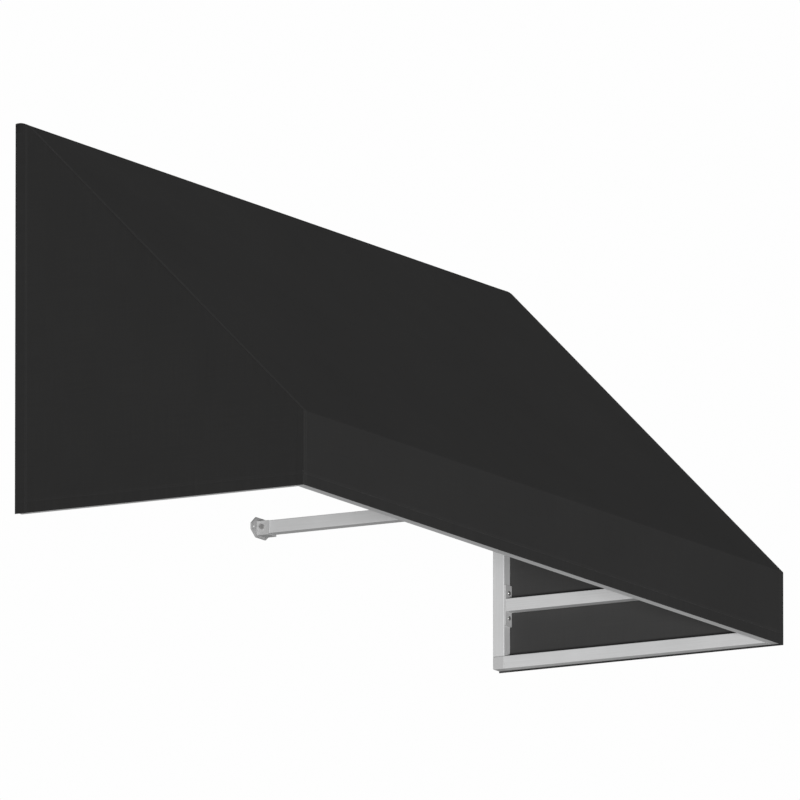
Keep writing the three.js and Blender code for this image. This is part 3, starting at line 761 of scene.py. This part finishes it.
def finish_for_tube(direction, tone=1.0):
    """The drawn finish with its die lines along a direction. tone scales its brightness."""
    grains = {
        "X": ((ALONG, ACROSS, ACROSS), (0, 0, 0)),
        "Y": ((ACROSS, ALONG, ACROSS), (0, 0, 0)),
        "Z": ((ACROSS, ACROSS, ALONG), (0, 0, 0)),
        "slope": ((ACROSS, ACROSS, ALONG), (math.pi / 2 - PITCH, 0, 0)),
    }
    grain, turned = grains[direction]
    name = f"drawn aluminium {direction} {tone:.2f}"
    return drawn_aluminium(name, TUBE_BRIGHTNESS * tone, grain, turned)


TUBE_FINISHES = {direction: finish_for_tube(direction) for direction in ("X", "Y", "Z", "slope")}
# painted shade: a darker copy of the drawn finish, for the shade the centre arm lies in
SHADED_ARM_TUBE = finish_for_tube("Y", ARM_PAINTED_SHADE_TONE)


def finish_for_node(name):
    """The finish of a piece of the frame, by what its name says it is."""
    if "screw" in name or name.endswith(("bolt", "nut")):
        return STEEL
    # painted shade: the wall bracket gets the darker casting
    if name == "centre_wall_bracket":
        return SHADED_BRACKET_CASTING
    if name.endswith(("corner", "elbow", "tee")):
        return CASTING
    # painted shade: the centre arm gets the darker tube finish
    if name == "centre_arm":
        return SHADED_ARM_TUBE
    if name.endswith("rafter"):
        return TUBE_FINISHES["slope"]
    if name.endswith("upright"):
        return TUBE_FINISHES["Z"]
    if name in ("header_tube", "eave_tube", "front_bottom_tube"):
        return TUBE_FINISHES["X"]
    return TUBE_FINISHES["Y"]


def soften(node, rounded):
    """Broken edges on a small part, and an even sheen over the head of a fastener."""
    node.data.polygons.foreach_set("use_smooth", np.full(len(node.data.polygons), rounded))
    weld = node.modifiers.new("weld", "WELD")
    weld.merge_threshold = 0.001 * MM
    bevel = node.modifiers.new("broken edges", "BEVEL")
    bevel.width = 0.25 * MM
    bevel.segments = 2
    bevel.limit_method = "ANGLE"
    bevel.angle_limit = math.radians(32)
    bevel.harden_normals = rounded


for name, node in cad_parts.items():
    finish = finish_for_node(name)
    for slot in node.material_slots:
        slot.material = finish
    if finish in (CASTING, SHADED_BRACKET_CASTING, STEEL):
        soften(node, rounded=finish is STEEL)


# ---- Camera -------------------------------------------------------------------------------

# A very long lens far away draws the awning almost without perspective.
LENS = 1650                 # mm on a 36 mm sensor
DISTANCE = 71.42
AZIMUTH = math.radians(-61.116)
ELEVATION = math.radians(-10.826)
AIM_RIGHT, AIM_UP = -0.0054, -0.0263    # from the middle of the awning, across the view

camera = bpy.data.objects.new("camera", bpy.data.cameras.new("camera"))
scene.collection.objects.link(camera)
bpy.context.scene.camera = camera
camera.data.lens = LENS
camera.data.clip_end = 4 * DISTANCE
back = Vector((
    math.sin(AZIMUTH) * math.cos(ELEVATION),
    -math.cos(AZIMUTH) * math.cos(ELEVATION),
    math.sin(ELEVATION),
))
right = Vector((0, 0, 1)).cross(back).normalized()
middle = (cad_box[0] + cad_box[1]) / 2
camera.rotation_mode = "QUATERNION"
camera.rotation_quaternion = (-back).to_track_quat("-Z", "Y")
camera.location = middle + back * DISTANCE + right * AIM_RIGHT + back.cross(right) * AIM_UP


# ---- Light and floor ----------------------------------------------------------------------

scene.view_settings.view_transform = "Standard"
scene.view_settings.look = "None"


def sky(backdrop, mirrored, light):
    """A plain pale surround, with a brightness for the camera, for mirroring and for light."""
    world = bpy.data.worlds.new("studio")
    scene.world = world
    world.use_nodes = True
    tree = world.node_tree
    tree.nodes.clear()
    path = tree.nodes.new("ShaderNodeLightPath")
    shown = None
    special = ((mirrored, "Is Glossy Ray"), (backdrop, "Is Camera Ray"))
    for brightness, rays in ((light, None), *special):
        glow = tree.nodes.new("ShaderNodeBackground")
        glow.inputs["Color"].default_value = grey(brightness)
        if shown:
            mix = tree.nodes.new("ShaderNodeMixShader")
            tree.links.new(path.outputs[rays], mix.inputs[0])
            tree.links.new(shown, mix.inputs[1])
            tree.links.new(glow.outputs[0], mix.inputs[2])
            glow = mix
        shown = glow.outputs[0]
    out = tree.nodes.new("ShaderNodeOutputWorld")
    tree.links.new(shown, out.inputs["Surface"])


def soft_sun(name, azimuth, elevation, strength, spread):
    """A distant round softbox that shines from a direction. Its three angles are in degrees."""
    data = bpy.data.lights.new(name, "SUN")
    data.energy = strength
    data.angle = math.radians(spread)
    a, e = math.radians(azimuth), math.radians(elevation)
    towards = Vector((math.sin(a) * math.cos(e), -math.cos(a) * math.cos(e), math.sin(e)))
    lamp = bpy.data.objects.new(name, data)
    lamp.rotation_mode = "QUATERNION"
    lamp.rotation_quaternion = towards.to_track_quat("Z", "Y")
    scene.collection.objects.link(lamp)


sky(backdrop=0.99, mirrored=0.3, light=0.13)
# The key light comes from low on the left, so that it reaches in under the cover.
for name, azimuth, elevation, strength, spread in (
    ("key", -56, -15, 3.0, 12),
    ("front", 0, 43, 1.62, 30),
    ("right", 80, 12, 0.9, 30),
    ("behind", 150, 5, 1.2, 30),
):
    soft_sun(name, azimuth, elevation, strength, spread)

FLOOR_REACH = 40            # from the middle to each side


def floor():
    """A pale floor at the hem, seen only from above, so that views from below pass it."""
    f = Finish("studio floor")
    back_face = f.node("ShaderNodeNewGeometry", output=6)
    place = f.object_place()
    mottle = f.noise(place, scale=0.7, detail=3)
    colour = f.blend(mottle, grey(0.80), grey(0.86))
    pale = f.node("ShaderNodeBsdfPrincipled", sockets={
        "Base Color": colour,
        "Roughness": 0.9,
        "Specular IOR Level": 0.0,
        "Emission Color": grey(1.0),
        "Emission Strength": 0.3,
    })
    clear = f.node("ShaderNodeBsdfTransparent")
    mix = f.node("ShaderNodeMixShader", sockets={0: back_face, 1: pale, 2: clear})
    f.node("ShaderNodeOutputMaterial", sockets={"Surface": mix})
    corners = ((-1, -1), (1, -1), (1, 1), (-1, 1))
    points = [(x * FLOOR_REACH, y * FLOOR_REACH, HEM) for x, y in corners]
    mesh = bpy.data.meshes.new("floor")
    mesh.from_pydata(points, [], [(0, 1, 2, 3)])
    mesh.materials.append(f.material)
    plane = bpy.data.objects.new("floor", mesh)
    scene.collection.objects.link(plane)
    plane.visible_shadow = False
    plane.visible_diffuse = False
    plane.visible_glossy = False


floor()
